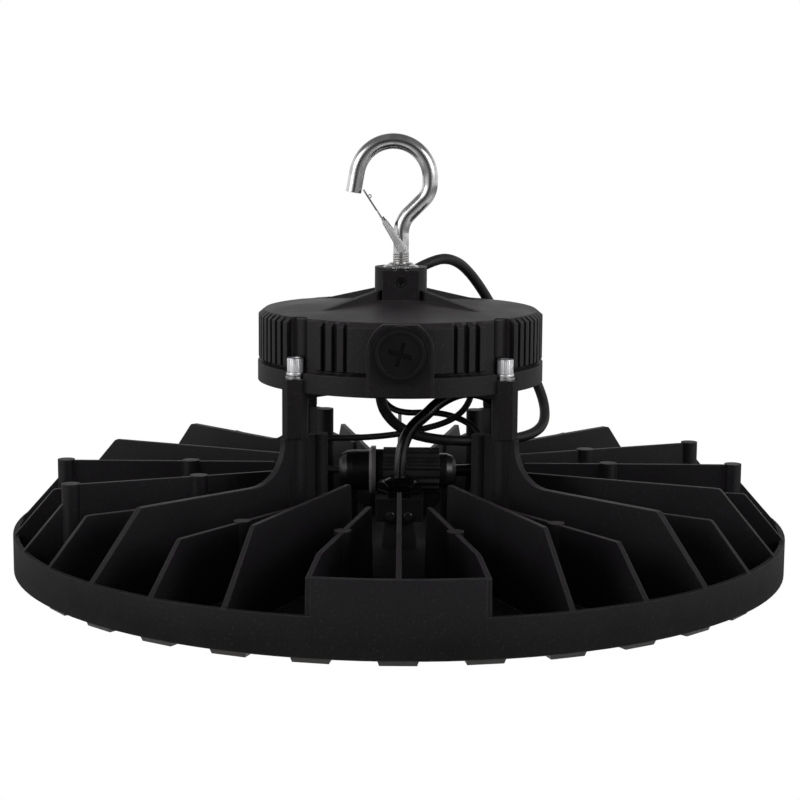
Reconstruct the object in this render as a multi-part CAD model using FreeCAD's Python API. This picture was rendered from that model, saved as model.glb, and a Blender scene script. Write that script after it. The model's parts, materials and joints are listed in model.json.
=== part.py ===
import FreeCAD, Part
import math
import os

V = FreeCAD.Vector

# A round high bay light, in millimetres.  z = 0 is the underside of the lens
# blocks, the hook stands on the Z axis and the knock-out plug faces -Y.

# ---- lens, light engine and rim, from the bottom up
fixture_radius = 200.0
lens_block_height = 2.9
lens_lip = 0.7
lens_plate_thickness = 1.7
lens_lip_radius = fixture_radius - 1.6
block_outer_radius = fixture_radius - 5.0
block_inner_radius = 118.0
block_width = 16.5
block_flare = 1.0
rim_height = 18.4
rim_wall = 2.8
floor_thickness = 2.4
led_board_thickness = 1.6
led_board_outer_radius = fixture_radius - 9.0
led_board_inner_radius = 96.0
chip_size = 3.0
chip_height = 0.7
chip_gap = 0.6
chip_rows = 3
lens_gasket_width = 3.0
part_gap = 0.3

# ---- cooling fins
fin_count = 32
fin_base_thickness = 3.2
fin_top_thickness = 2.0
tall_fin_height = 50.0
tall_fin_inner_radius = 63.5
tall_fin_shoulder_radius = fixture_radius - 29.0
short_fin_height = 41.5
short_fin_inner_radius = 73.0
short_fin_shoulder_radius = fixture_radius - 21.0
front_fin_inner_radius = 78.0
fin_corner_radius = 3.0
plate_height = 35.7
plate_half_width = 38.0
web_corner_radius = 20.0
web_thickness = 3.4

# ---- posts that carry the driver
screw_circle_radius = 73.54
post_radius = 5.6
column_circle_radius = 57.6
column_radius = 4.6
post_height = 72.0
leg_width = 12.6
leg_chamfer = 2.6
leg_height = 22.8
arm_thickness = 3.0
arm_inner_radius = 50.0

# ---- driver housing
housing_radius = 74.0
core_radius = 70.7
rib_radius = 73.6
rib_width = 3.2
side_rib_count = 19
front_rib_angles = [23.5, 28.5, 33.3]
rib_foot_rise = 1.8
flange_height = 9.7
rib_band_height = 24.2
shoulder_drop = 2.6
shoulder_radius = 70.4
cone_rise = 5.4
panel_half_angle = 20.6
lug_height = 6.7
pocket_radius = 6.2
lobe_radius = 4.8
lobe_circle_radius = 66.2
housing_wall = 3.3
base_plate_thickness = 3.2
base_recess_radius = 69.6
driver_gasket_thickness = 0.8

# ---- hook boss
boss_radius = 13.5
boss_height = 16.3
boss_pad_half_width = 9.4
boss_pad_reach = 13.4
nut_recess_radius = 9.9
nut_recess_depth = 4.2
gusset_reach = 52.0
gusset_thickness = 3.6
gusset_drop = 11.2
gusset_angle = 38.7
scallop_radius = 1.3
scallop_spacing = 6.6

# ---- knock-out plug
plug_hole_radius = 10.2
plug_head_radius = 13.7
plug_boss_radius = 16.4
plug_boss_reach = 76.6
plug_rise = 22.2

# ---- hook and gate
wire_diameter = 8.0
eye_radius = 18.9
eye_centre_x = -4.2
eye_centre_rise = 45.4
neck_foot_drop = 22.3
neck_lower_radius = 14.0
neck_upper_radius = 12.5
tip_length = 10.8
tip_angle = 170.0
shank_depth = 21.5
gate_pivot_rise = 7.5
gate_sheet = 0.8
gate_width = 5.0
gate_cheek_radius = 2.9
gate_pin_radius = 1.1
gate_side_gap = 1.5
gate_spring_wire = 0.7

# ---- fasteners
leg_screw_radius = 2.5
leg_screw_head_radius = 4.0
leg_screw_head_height = 7.0
leg_screw_grip = 11.0
leg_washer_thickness = 1.4
leg_washer_radius = 4.9
spring_washer_thickness = 1.9
lens_screw_radius = 1.75
lens_screw_head_radius = 3.6
lens_screw_head_height = 2.0
lens_screw_depth = 10.0
transformer_x = -21.0
transformer_length = 34.0
transformer_width = 32.0
transformer_height = 18.0
winding_inset = 4.5
winding_height = 3.0
capacitor_radius = 7.5
capacitor_height = 20.0
capacitor_places = [(12.0, -16.0), (12.0, 4.0), (32.0, -6.0)]
hook_nut_width = 13.0
hook_nut_flange_radius = 9.3
hook_nut_flange_height = 4.9
hook_nut_height = 6.2
set_screw_radius = 2.8
set_screw_depth = 1.2
thread_gap = 0.05
hole_gap = 0.35

# ---- cables
engine_cord_diameter = 6.4
lead_diameter = 3.4
mains_cord_diameter = 5.6

# ---- heights worked out from the stack
lens_plate_bottom = lens_block_height
rim_bottom = lens_plate_bottom + lens_lip
rim_top = rim_bottom + rim_height
lens_plate_top = lens_plate_bottom + lens_plate_thickness
chip_bottom = lens_plate_top + chip_gap
board_bottom = chip_bottom + chip_height
floor_bottom = board_bottom + led_board_thickness
floor_top = floor_bottom + floor_thickness
floor_middle = floor_bottom + floor_thickness / 2
rim_inner_radius = fixture_radius - rim_wall
fin_pitch = 360.0 / fin_count
post_top = rim_bottom + post_height
housing_bottom = post_top + leg_height
arm_bottom = housing_bottom - arm_thickness
flange_top = housing_bottom + flange_height
rib_top = flange_top + rib_band_height
shoulder_top = rib_top + shoulder_drop
cone_top = shoulder_top + cone_rise
base_plate_top = housing_bottom + base_plate_thickness
cavity_bottom = base_plate_top + driver_gasket_thickness
cavity_top = shoulder_top - housing_wall - 0.6
cavity_radius = base_recess_radius - housing_wall
lug_top = housing_bottom + lug_height
boss_top = cone_top + boss_height
nut_seat = boss_top - nut_recess_depth
shank_end = boss_top - shank_depth
screw_angles = [45.0, 135.0, 225.0, 315.0]


def revolve(points):
    """Solid turned about the Z axis from (radius, height) points."""
    wire = Part.makePolygon([V(r, 0, z) for r, z in points] + [V(points[0][0], 0, points[0][1])])
    return Part.Face(wire).revolve(V(0, 0, 0), V(0, 0, 1), 360)


def post(radius, low, high, x=0.0, y=0.0):
    return Part.makeCylinder(radius, high - low, V(x, y, low))


def ring(outer, inner, low, high, x=0.0, y=0.0):
    return post(outer, low, high, x, y).cut(post(inner, low - 1, high + 1, x, y))


def block(x_low, x_high, y_low, y_high, z_low, z_high):
    corner = V(x_low, y_low, z_low)
    return Part.makeBox(x_high - x_low, y_high - y_low, z_high - z_low, corner)


def turned(shape, angle):
    copy = shape.copy()
    copy.rotate(V(0, 0, 0), V(0, 0, 1), angle)
    return copy


def on_circle(radius, angle):
    a = math.radians(angle)
    return radius * math.cos(a), radius * math.sin(a)


def hexagon(width, low, high, x=0.0, y=0.0):
    corner = width / math.sqrt(3)
    points = [V(x + on_circle(corner, 60 * i)[0], y + on_circle(corner, 60 * i)[1], low)
              for i in range(7)]
    return Part.Face(Part.makePolygon(points)).extrude(V(0, 0, high - low))


def joined(shapes):
    return shapes[0].multiFuse(shapes[1:]).removeSplitter()


def rounded_path(points, radii):
    """Edges along straight runs, with a tangent arc at each inner point that has a radius."""
    edges = []
    start = points[0]
    for i in range(1, len(points) - 1):
        corner = points[i]
        before = (points[i - 1] - corner).normalize()
        after = (points[i + 1] - corner).normalize()
        turn = math.pi - before.getAngle(after)
        radius = radii[i]
        if radius <= 0 or turn < 1e-6:
            edges.append(Part.LineSegment(start, corner).toShape())
            start = corner
            continue
        reach = radius * math.tan(turn / 2)
        arc_start = corner + before * reach
        arc_end = corner + after * reach
        inward = (before + after).normalize()
        arc_middle = corner + inward * (radius / math.cos(turn / 2) - radius)
        if (arc_start - start).Length > 1e-6:
            edges.append(Part.LineSegment(start, arc_start).toShape())
        edges.append(Part.Arc(arc_start, arc_middle, arc_end).toShape())
        start = arc_end
    if (points[-1] - start).Length > 1e-6:
        edges.append(Part.LineSegment(start, points[-1]).toShape())
    return edges


def upright_profile(points, radii, thickness):
    """Plate in the XZ plane, centred on it, from (x, z) corners with corner radii."""
    corners = [V(x, -thickness / 2, z) for x, z in points]
    corners.append(corners[0])
    edges = rounded_path(corners, list(radii) + [0.0])
    return Part.Face(Part.Wire(edges)).extrude(V(0, thickness, 0))


def swept_tube(edges, radius):
    path = Part.Wire(edges)
    first = edges[0].Vertexes[0].Point
    direction = edges[0].tangentAt(edges[0].FirstParameter)
    section = Part.Wire(Part.makeCircle(radius, first, direction))
    return path.makePipeShell([section], True, False)


def save(name, shape):
    os.makedirs("parts", exist_ok=True)
    shape.exportStep("parts/" + name + ".step")


# ---------------------------------------------------------------- heat sink
boss_fins = [-8, -6, 8, 10]
small_boss_fins = [-15, -13, -3, -1, 1, 3, 13, 15]
post_fins = [-12, -4, 4, 12]
tall_boss_radii = [fixture_radius - 25.0, 109.5]
small_boss_radius_place = 133.0
tall_boss_size = 4.5
small_boss_size = 4.0


def fin_angle(index):
    return -90.0 + fin_pitch * index


def lens_screw_places():
    places = [on_circle(r, fin_angle(k)) for k in boss_fins for r in tall_boss_radii]
    places += [on_circle(small_boss_radius_place, fin_angle(k)) for k in small_boss_fins]
    return places


def draft_wedge():
    """Trapezoid bar along X that gives a fin its taper from floor to top."""
    height = post_height
    slope = (fin_base_thickness - fin_top_thickness) / tall_fin_height
    low = fin_base_thickness / 2
    high = low - slope * height / 2
    corners = [V(0, -low, floor_bottom), V(0, low, floor_bottom),
               V(0, high, floor_bottom + height), V(0, -high, floor_bottom + height),
               V(0, -low, floor_bottom)]
    return Part.Face(Part.makePolygon(corners)).extrude(V(fixture_radius + 1, 0, 0))


def fin(index):
    short = index % 2 == 1
    height = short_fin_height if short else tall_fin_height
    shoulder = short_fin_shoulder_radius if short else tall_fin_shoulder_radius
    inner = short_fin_inner_radius if short else tall_fin_inner_radius
    inner = front_fin_inner_radius if index == 0 else inner
    top = rim_bottom + height
    end_z = rim_bottom + plate_height if abs(index) <= 1 else rim_top
    points = [(inner, floor_middle), (inner + 1.5, top), (shoulder, top),
              (fixture_radius - 0.6, end_z - 0.3), (fixture_radius - 0.6, floor_middle)]
    radii = [0.0, fin_corner_radius / 2, fin_corner_radius, 0.0, 0.0]
    plate = upright_profile(points, radii, 3 * fin_base_thickness)
    return turned(plate.common(draft_wedge()), fin_angle(index))


def post_web():
    """Fin whose inner end rises to the post and the inner column of one driver leg."""
    top = rim_bottom + tall_fin_height
    edge = screw_circle_radius + post_radius + web_thickness
    points = [(column_circle_radius, floor_middle), (column_circle_radius, post_top),
              (edge - 0.8, post_top), (edge, top), (tall_fin_shoulder_radius, top),
              (fixture_radius - 0.6, rim_top - 0.3), (fixture_radius - 0.6, floor_middle)]
    radii = [0.0, 0.0, 0.0, web_corner_radius, fin_corner_radius, 0.0, 0.0]
    web = upright_profile(points, radii, web_thickness)
    outer = post(post_radius, floor_middle, post_top, screw_circle_radius)
    inner = post(column_radius, floor_middle, post_top, column_circle_radius)
    return [web, outer, inner]


stub_radius = 3.0
stub_circle_radius = 161.0
stub_angle = 50.6
stub_top = rim_bottom + 18.0
pedestal_foot_radius = 9.6
pedestal_neck_radius = 7.6
pedestal_height = 16.1
spigot_height = 6.0
spigot_radius = 7.2
wire_hole_radius = 2.6
gland_y = -8.0
cap_bottom = floor_top + pedestal_height
cap_screw_radius = 1.25
cap_screw_spacing = 9.2
cap_screw_rise = 3.0
cap_width = 25.0
cap_back_reach = 9.5
cap_height = 12.0


def heat_sink():
    pieces = [post(rim_inner_radius + 0.5, floor_bottom, floor_top),
              ring(fixture_radius, rim_inner_radius, rim_bottom, rim_top)]
    front_plate = ring(fixture_radius, rim_inner_radius, rim_top - 1, rim_bottom + plate_height)
    sector = block(-plate_half_width, plate_half_width, -fixture_radius - 1, 0,
                   rim_bottom, rim_bottom + plate_height + 1)
    pieces.append(front_plate.common(sector))
    for k in range(-fin_count // 2 + 1, fin_count // 2 + 1):
        if k in post_fins:
            pieces += [turned(piece, fin_angle(k)) for piece in post_web()]
        else:
            pieces.append(fin(k))
    for k in boss_fins:
        for radius in tall_boss_radii:
            x, y = on_circle(radius, fin_angle(k))
            pieces.append(post(tall_boss_size, floor_middle, rim_bottom + tall_fin_height + 0.5, x, y))
    for k in small_boss_fins:
        x, y = on_circle(small_boss_radius_place, fin_angle(k))
        pieces.append(post(small_boss_size, floor_middle, rim_bottom + short_fin_height + 0.5, x, y))
    for side in (-1, 1):
        for turn in (stub_angle, 180 - stub_angle):
            x, y = on_circle(stub_circle_radius, -90 + side * turn)
            pieces.append(post(stub_radius, floor_middle, stub_top, x, y))
    pedestal = Part.makeCone(pedestal_foot_radius, pedestal_neck_radius,
                             cap_bottom - floor_middle, V(0, gland_y, floor_middle))
    pieces.append(pedestal)
    pieces.append(post(spigot_radius, cap_bottom - 1, cap_bottom + spigot_height, 0, gland_y))
    casting = joined(pieces)
    holes = [post(wire_hole_radius, floor_bottom - 1, cap_bottom + spigot_height + 1, 0, gland_y)]
    for angle in screw_angles:
        x, y = on_circle(screw_circle_radius, angle)
        holes.append(post(leg_screw_radius + thread_gap, post_top - leg_screw_grip - 2, post_top + 1, x, y))
    for x, y in lens_screw_places():
        depth = floor_bottom + lens_screw_depth + 1
        holes.append(post(lens_screw_radius + thread_gap, floor_bottom - 1, depth, x, y))
    holes += cap_screw_holes(cap_screw_radius + thread_gap)
    return casting.cut(Part.makeCompound(holes))


def cap_screw_holes(radius):
    z = cap_bottom + cap_screw_rise
    return [Part.makeCylinder(radius, 12.0, V(x, gland_y - 13.0, z), V(0, 1, 0))
            for x in (-cap_screw_spacing / 2, cap_screw_spacing / 2)]


# ---------------------------------------------------------------- lens and light engine
def lens_plate():
    pieces = [post(lens_lip_radius, lens_plate_bottom, rim_bottom),
              post(rim_inner_radius - part_gap, lens_plate_bottom, lens_plate_top)]
    narrow = block_inner_radius / block_outer_radius
    for k in range(fin_count):
        half = block_width / 2
        wide = half + block_flare
        low = [V(block_inner_radius, -half * narrow, 0), V(block_outer_radius, -half, 0),
               V(block_outer_radius, half, 0), V(block_inner_radius, half * narrow, 0)]
        high = [V(block_inner_radius - block_flare, -wide * narrow, lens_block_height + 0.2),
                V(block_outer_radius + block_flare, -wide, lens_block_height + 0.2),
                V(block_outer_radius + block_flare, wide, lens_block_height + 0.2),
                V(block_inner_radius - block_flare, wide * narrow, lens_block_height + 0.2)]
        prism = Part.makeLoft([Part.makePolygon(low + low[:1]), Part.makePolygon(high + high[:1])],
                              True, True)
        pieces.append(turned(prism, fin_angle(k)))
    plate = joined(pieces)
    holes = []
    for x, y in lens_screw_places():
        holes.append(post(lens_screw_radius + hole_gap, -1, lens_plate_top + 1, x, y))
        holes.append(post(lens_screw_head_radius + hole_gap, -1, lens_plate_bottom, x, y))
    return plate.cut(Part.makeCompound(holes))


def led_board():
    board = ring(led_board_outer_radius, led_board_inner_radius, board_bottom, floor_bottom)
    holes = [post(lens_screw_radius + hole_gap, board_bottom - 1, floor_bottom + 1, x, y)
             for x, y in lens_screw_places()]
    return board.cut(Part.makeCompound(holes))


def led_chips():
    chips = []
    first = block_inner_radius + 25.0
    step = 14.0
    for k in range(fin_count):
        for row in range(chip_rows):
            r = first + step * row
            chip = block(r - chip_size / 2, r + chip_size / 2, -chip_size / 2, chip_size / 2,
                         chip_bottom, board_bottom)
            chips.append(turned(chip, fin_angle(k)))
    return Part.makeCompound(chips)


def lens_gasket():
    outer = rim_inner_radius - 2 * part_gap
    return ring(outer, outer - lens_gasket_width, lens_plate_top, floor_bottom)


def lens_screws():
    screws = []
    for x, y in lens_screw_places():
        head_low = lens_plate_bottom - lens_screw_head_height
        head = post(lens_screw_head_radius, head_low, lens_plate_bottom, x, y)
        head = head.cut(hexagon(2.0, head_low - 1, head_low + 1.0, x, y))
        shank = post(lens_screw_radius, lens_plate_bottom, floor_bottom + lens_screw_depth, x, y)
        screws.append(head.fuse(shank))
    return Part.makeCompound(screws)


# ---------------------------------------------------------------- driver
def rib_angles():
    """Ribs beside the front panel, then an even run between each pair of leg screws."""
    angles = [-90.0 + side * angle for side in (-1, 1) for angle in front_rib_angles]
    gap = math.degrees((pocket_radius + rib_width / 2 + 0.4) / housing_radius)
    step = (90.0 - 2 * gap) / (side_rib_count - 1)
    for start in screw_angles[:2] + screw_angles[3:]:
        angles += [start + gap + step * i for i in range(side_rib_count)]
    return angles


def driver_housing():
    foot = flange_top + rib_foot_rise
    outer = revolve([(0, housing_bottom), (housing_radius, housing_bottom),
                     (housing_radius, flange_top), (rib_radius - 0.8, flange_top),
                     (core_radius, flange_top + 0.9), (core_radius, rib_top + shoulder_drop / 2),
                     (shoulder_radius, shoulder_top), (boss_radius - 1, cone_top), (0, cone_top)])
    profile = [(core_radius - 2, foot), (rib_radius - 0.6, foot), (rib_radius, foot + 0.6),
               (rib_radius, rib_top), (shoulder_radius + 0.4, shoulder_top - 0.3),
               (core_radius - 2, shoulder_top - 0.3)]
    pieces = [outer]
    rib = upright_profile(profile, [0.0] * 6, rib_width)
    pieces += [turned(rib, angle) for angle in rib_angles()]
    face = Part.Face(Part.makePolygon([V(r, 0, z) for r, z in profile + profile[:1]]))
    panel = face.revolve(V(0, 0, 0), V(0, 0, 1), 2 * panel_half_angle)
    pieces.append(turned(panel, -90.0 - panel_half_angle))
    for angle in screw_angles:
        x, y = on_circle(screw_circle_radius, angle)
        lug = block(-leg_width / 2, leg_width / 2, -leg_width / 2, leg_width / 2,
                    housing_bottom, lug_top)
        lug.translate(V(x, y, 0))
        pieces.append(lug.makeChamfer(leg_chamfer, upright_edges(lug)))
    pieces += boss_pieces()
    pieces.append(plug_boss())
    casting = joined(pieces)
    return casting.cut(Part.makeCompound(housing_hollows())).fuse(lobes()).removeSplitter()


def upright_edges(shape):
    return [edge for edge in shape.Edges
            if abs(edge.tangentAt(edge.FirstParameter).z) > 0.99]


def boss_pieces():
    """Hook boss with its front pad and four sloping gussets."""
    pieces = [post(boss_radius, shoulder_top - 2, boss_top),
              block(-boss_pad_half_width, boss_pad_half_width, -boss_pad_reach, 0,
                    shoulder_top - 2, boss_top - 1.0)]
    gusset_foot = cone_height_at(gusset_reach)
    gusset = upright_profile([(boss_radius - 3, shoulder_top - 2),
                              (boss_radius - 3, boss_top - gusset_drop),
                              (boss_radius, boss_top - gusset_drop),
                              (gusset_reach, gusset_foot), (gusset_reach, shoulder_top - 2)],
                             [0.0] * 5, gusset_thickness)
    for angle in (gusset_angle, 180 - gusset_angle, 180 + gusset_angle, -gusset_angle):
        pieces.append(turned(gusset, angle))
    return pieces


def cone_height_at(radius):
    share = (shoulder_radius - radius) / (shoulder_radius - boss_radius + 1)
    return shoulder_top + cone_rise * share


plug_z = housing_bottom + plug_rise


def plug_boss():
    """Round boss for the knock-out, carried down to the flange with straight sides."""
    disc = Part.makeCylinder(plug_boss_radius, plug_boss_reach - core_radius + 6,
                             V(0, -plug_boss_reach, plug_z), V(0, 1, 0))
    skirt = block(-plug_boss_radius, plug_boss_radius, -plug_boss_reach, -core_radius + 6,
                  housing_bottom + 1.0, plug_z)
    trim = post(housing_radius + 4, housing_bottom, shoulder_top - 0.3)
    return disc.fuse(skirt).common(trim)


def housing_hollows():
    """Everything that is cut out of the housing casting."""
    recess = post(base_recess_radius, housing_bottom - 1, cavity_bottom)
    cavity = post(cavity_radius, cavity_bottom - 1, cavity_top)
    walls = []
    pockets = []
    holes = []
    for angle in screw_angles:
        x, y = on_circle(screw_circle_radius, angle)
        walls.append(post(pocket_radius + housing_wall - 0.6, 0, cavity_top + 10, x, y))
        pockets.append(post(pocket_radius, lug_top, cone_top + 5, x, y))
        holes.append(post(leg_screw_radius + hole_gap, housing_bottom - 1, lug_top + 1, x, y))
    cavity = cavity.cut(Part.makeCompound(walls))
    holes.append(post(wire_diameter / 2 + thread_gap, shank_end - 0.5, boss_top + 1))
    holes.append(post(nut_recess_radius, nut_seat, boss_top + 1))
    holes.append(Part.makeCylinder(set_screw_radius + thread_gap, boss_pad_reach + 1,
                                   V(0, -boss_pad_reach - 1, set_screw_z), V(0, 1, 0)))
    for x in (-scallop_spacing / 2, scallop_spacing / 2):
        holes.append(Part.makeCylinder(scallop_radius, 10, V(x, -boss_pad_reach - 1, boss_top), V(0, 1, 0)))
    holes.append(Part.makeCylinder(plug_hole_radius + thread_gap, 30,
                                   V(0, -plug_boss_reach - 1, plug_z), V(0, 1, 0)))
    return [recess, cavity] + pockets + holes


def lobes():
    """Rounded bulges above the leg screws, cleared around each head and its washers."""
    head_top = lug_top + leg_washer_thickness + spring_washer_thickness + leg_screw_head_height
    lobe_set = []
    for angle in screw_angles:
        x, y = on_circle(lobe_circle_radius, angle)
        lobe = post(lobe_radius, lug_top, shoulder_top - 0.4, x, y)
        x, y = on_circle(screw_circle_radius, angle)
        lobe_set.append(lobe.cut(post(leg_washer_radius + 0.5, lug_top, head_top + 1.0, x, y)))
    return Part.makeCompound(lobe_set)


set_screw_z = nut_seat - set_screw_radius - 0.35


def octagon_leg(low, high, x, y):
    leg = block(x - leg_width / 2, x + leg_width / 2, y - leg_width / 2, y + leg_width / 2, low, high)
    return leg.makeChamfer(leg_chamfer, upright_edges(leg))


pillar_radius = 3.0
pillar_height = 5.0
pillar_circle_radius = 48.0
pillar_angles = [0.0, 120.0, 240.0]
driver_board_radius = 54.0
driver_board_thickness = 1.6
driver_board_bottom = base_plate_top + pillar_height
driver_board_top = driver_board_bottom + driver_board_thickness


def driver_base():
    pieces = [post(base_recess_radius - part_gap, housing_bottom, base_plate_top)]
    for angle in screw_angles:
        x, y = on_circle(screw_circle_radius, angle)
        pieces.append(octagon_leg(post_top, housing_bottom, x, y))
        arm = block(arm_inner_radius, screw_circle_radius, -leg_width / 2, leg_width / 2,
                    arm_bottom, housing_bottom)
        pieces.append(turned(arm, angle))
    for angle in pillar_angles:
        x, y = on_circle(pillar_circle_radius, angle)
        pieces.append(post(pillar_radius, base_plate_top - 1, driver_board_bottom, x, y))
    plate = joined(pieces)
    holes = []
    for angle in screw_angles:
        x, y = on_circle(screw_circle_radius, angle)
        holes.append(post(leg_screw_radius + hole_gap, post_top - 1, housing_bottom + 1, x, y))
    for x, y, size in driver_gland_places:
        holes.append(post(gland_sizes[size]["stem"] + thread_gap, arm_bottom - 5, base_plate_top + 1, x, y))
    return plate.cut(Part.makeCompound(holes))


def driver_gasket():
    outer = base_recess_radius - part_gap
    return ring(outer, cavity_radius, base_plate_top, cavity_bottom)


def driver_board():
    return post(driver_board_radius, driver_board_bottom, driver_board_top)


def driver_transformer():
    half_length = transformer_length / 2
    half_width = transformer_width / 2
    core_top = driver_board_top + transformer_height
    core = block(transformer_x - half_length, transformer_x + half_length,
                 -half_width, half_width, driver_board_top, core_top)
    winding = block(transformer_x - half_length + winding_inset,
                    transformer_x + half_length - winding_inset,
                    winding_inset - half_width, half_width - winding_inset,
                    core_top, core_top + winding_height)
    return core.fuse(winding).removeSplitter()


def driver_capacitors():
    return Part.makeCompound([post(capacitor_radius, driver_board_top,
                                   driver_board_top + capacitor_height, x, y)
                              for x, y in capacitor_places])


# ---------------------------------------------------------------- hook, nut and gate
hook_nut_top = nut_seat + hook_nut_height
gate_pivot_z = hook_nut_top + gate_pivot_rise
eye_centre_z = boss_top + eye_centre_rise


def hook():
    """Bent rod: threaded shank, cranked neck, open eye and a straight tip."""
    neck_foot_z = eye_centre_z - neck_foot_drop
    neck_side_x = eye_centre_x + eye_radius
    points = [V(0, 0, shank_end), V(0, 0, neck_foot_z),
              V(neck_side_x, 0, neck_foot_z + neck_side_x), V(neck_side_x, 0, eye_centre_z)]
    edges = rounded_path(points, [0.0, neck_lower_radius, neck_upper_radius, 0.0])
    centre = V(eye_centre_x, 0, eye_centre_z)

    def on_eye(angle):
        a = math.radians(angle)
        return centre + V(eye_radius * math.cos(a), 0, eye_radius * math.sin(a))

    edges.append(Part.Arc(on_eye(0), on_eye(tip_angle / 2), on_eye(tip_angle)).toShape())
    a = math.radians(tip_angle)
    tip_end = on_eye(tip_angle) + V(-math.sin(a), 0, math.cos(a)) * tip_length
    edges.append(Part.LineSegment(on_eye(tip_angle), tip_end).toShape())
    rod = swept_tube(edges, wire_diameter / 2)
    pin_hole = Part.makeCylinder(gate_pin_radius + thread_gap, 20, V(0, -10, gate_pivot_z), V(0, 1, 0))
    return rod.cut(pin_hole)


def hook_nut():
    nut = hexagon(hook_nut_width, nut_seat, hook_nut_top)
    flange = revolve([(0, nut_seat), (hook_nut_flange_radius, nut_seat),
                      (hook_nut_flange_radius, nut_seat + hook_nut_flange_height - 0.8),
                      (hook_nut_flange_radius - 1.2, nut_seat + hook_nut_flange_height),
                      (0, nut_seat + hook_nut_flange_height)])
    chamfer = Part.makeCone(hook_nut_width / 2 + 3.2, hook_nut_width / 2 - 0.6, 3.8,
                            V(0, 0, hook_nut_top - 3.8))
    below = post(hook_nut_width, nut_seat, hook_nut_top - 3.8)
    nut = nut.common(chamfer.fuse(below)).fuse(flange).removeSplitter()
    return nut.cut(post(wire_diameter / 2 + thread_gap, nut_seat - 1, hook_nut_top + 1))


def boss_set_screw():
    face_y = -boss_pad_reach + set_screw_depth
    length = -face_y - wire_diameter / 2 - 0.15
    body = Part.makeCylinder(set_screw_radius, length, V(0, face_y, set_screw_z), V(0, 1, 0))
    socket = hexagon(2.8, -1.0, 2.2)
    socket.rotate(V(0, 0, 0), V(1, 0, 0), -90)
    socket.translate(V(0, face_y, set_screw_z))
    return body.cut(socket)


gate_tip = V(-19.6, 0, eye_centre_z - 6.0)
gate_vector = gate_tip - V(0, 0, gate_pivot_z)
gate_length = gate_vector.Length
gate_lean = math.degrees(math.atan2(-gate_vector.x, gate_vector.z))
cheek_half_gap = wire_diameter / 2 + gate_side_gap
web_start = 15.5
cheek_length = 17.5
strip_half_width = gate_width / 2


def gate_frame(shape):
    """From the gate's own frame, up +Z along the strip, to its place on the hook."""
    shape.rotate(V(0, 0, 0), V(0, 1, 0), -gate_lean)
    shape.translate(V(0, 0, gate_pivot_z))
    return shape


def hook_gate():
    """Folded spring-steel latch: two cheeks on the pin, one web and a narrow tongue."""
    half = gate_sheet / 2
    web_x = -half
    cheeks = []
    for side in (-1, 1):
        inner = side * cheek_half_gap
        low = min(inner, inner + side * gate_sheet)
        disc = Part.makeCylinder(gate_cheek_radius, gate_sheet, V(0, low, 0), V(0, 1, 0))
        outline = [V(-gate_cheek_radius, low, 0), V(gate_cheek_radius, low, 0),
                   V(half + 1.2, low, cheek_length), V(-half, low, cheek_length + 2),
                   V(-gate_cheek_radius, low, 0)]
        flank = Part.Face(Part.makePolygon(outline)).extrude(V(0, gate_sheet, 0))
        cheeks += [disc, flank]
    reach = cheek_half_gap + gate_sheet
    web_outline = [V(web_x, -reach, web_start), V(web_x, reach, web_start),
                   V(web_x, reach, cheek_length + 2), V(web_x, strip_half_width, cheek_length + 7),
                   V(web_x, strip_half_width, gate_length - 6), V(web_x, strip_half_width - 1.2, gate_length),
                   V(web_x, -strip_half_width + 1.2, gate_length), V(web_x, -strip_half_width, gate_length - 6),
                   V(web_x, -strip_half_width, cheek_length + 7), V(web_x, -reach, cheek_length + 2),
                   V(web_x, -reach, web_start)]
    web = Part.Face(Part.makePolygon(web_outline)).extrude(V(gate_sheet, 0, 0))
    bead = Part.makeCylinder(1.1, gate_width - 1.4, V(0.9, -strip_half_width + 0.7, gate_length - 6.5), V(0, 1, 0))
    latch = joined(cheeks + [web, bead])
    pin_hole = Part.makeCylinder(gate_pin_radius + thread_gap, 20, V(0, -10, 0), V(0, 1, 0))
    return gate_frame(latch.cut(pin_hole))


def gate_pin():
    reach = cheek_half_gap + gate_sheet + 0.1
    shaft = Part.makeCylinder(gate_pin_radius, 2 * reach, V(0, -reach, gate_pivot_z), V(0, 1, 0))
    heads = [Part.makeCylinder(gate_pin_radius + 0.7, 0.7, V(0, y, gate_pivot_z), V(0, 1, 0))
             for y in (-reach - 0.7, reach)]
    return joined([shaft] + heads)


def cord(points, diameter, label):
    """Straight runs joined by the largest tangent arcs that the runs allow."""
    places = [V(*p) for p in points]
    radii = [0.0]
    for i in range(1, len(places) - 1):
        before = places[i - 1] - places[i]
        after = places[i + 1] - places[i]
        turn = math.pi - before.getAngle(after)
        radii.append(0.45 * min(before.Length, after.Length) / math.tan(turn / 2))
    radii.append(0.0)
    edges = rounded_path(places, radii)
    tube = swept_tube(edges, diameter / 2)
    length = sum(edge.Length for edge in edges)
    share = tube.Volume / (math.pi * diameter ** 2 / 4 * length)
    tightest = min(r for r in radii if r > 0)
    print("%s: length %.0f, tightest radius %.1f (%.1f diameters), volume share %.4f"
          % (label, length, tightest, tightest / diameter, share))
    return tube


def gate_spring():
    """Torsion coil on the pin beside the shank, with one leg along the web."""
    start = wire_diameter / 2 + 0.2
    width = gate_side_gap - 0.4
    coil = Part.makeCylinder(gate_pin_radius + thread_gap + gate_spring_wire, width,
                             V(0, start, 0), V(0, 1, 0))
    coil = coil.cut(Part.makeCylinder(gate_pin_radius + thread_gap, width + 2, V(0, start - 1, 0), V(0, 1, 0)))
    face = gate_sheet / 2 + thread_gap
    leg = block(face, face + gate_spring_wire, start, start + gate_spring_wire, 1.3, web_start + 3)
    return gate_frame(coil.fuse(leg))


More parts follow.
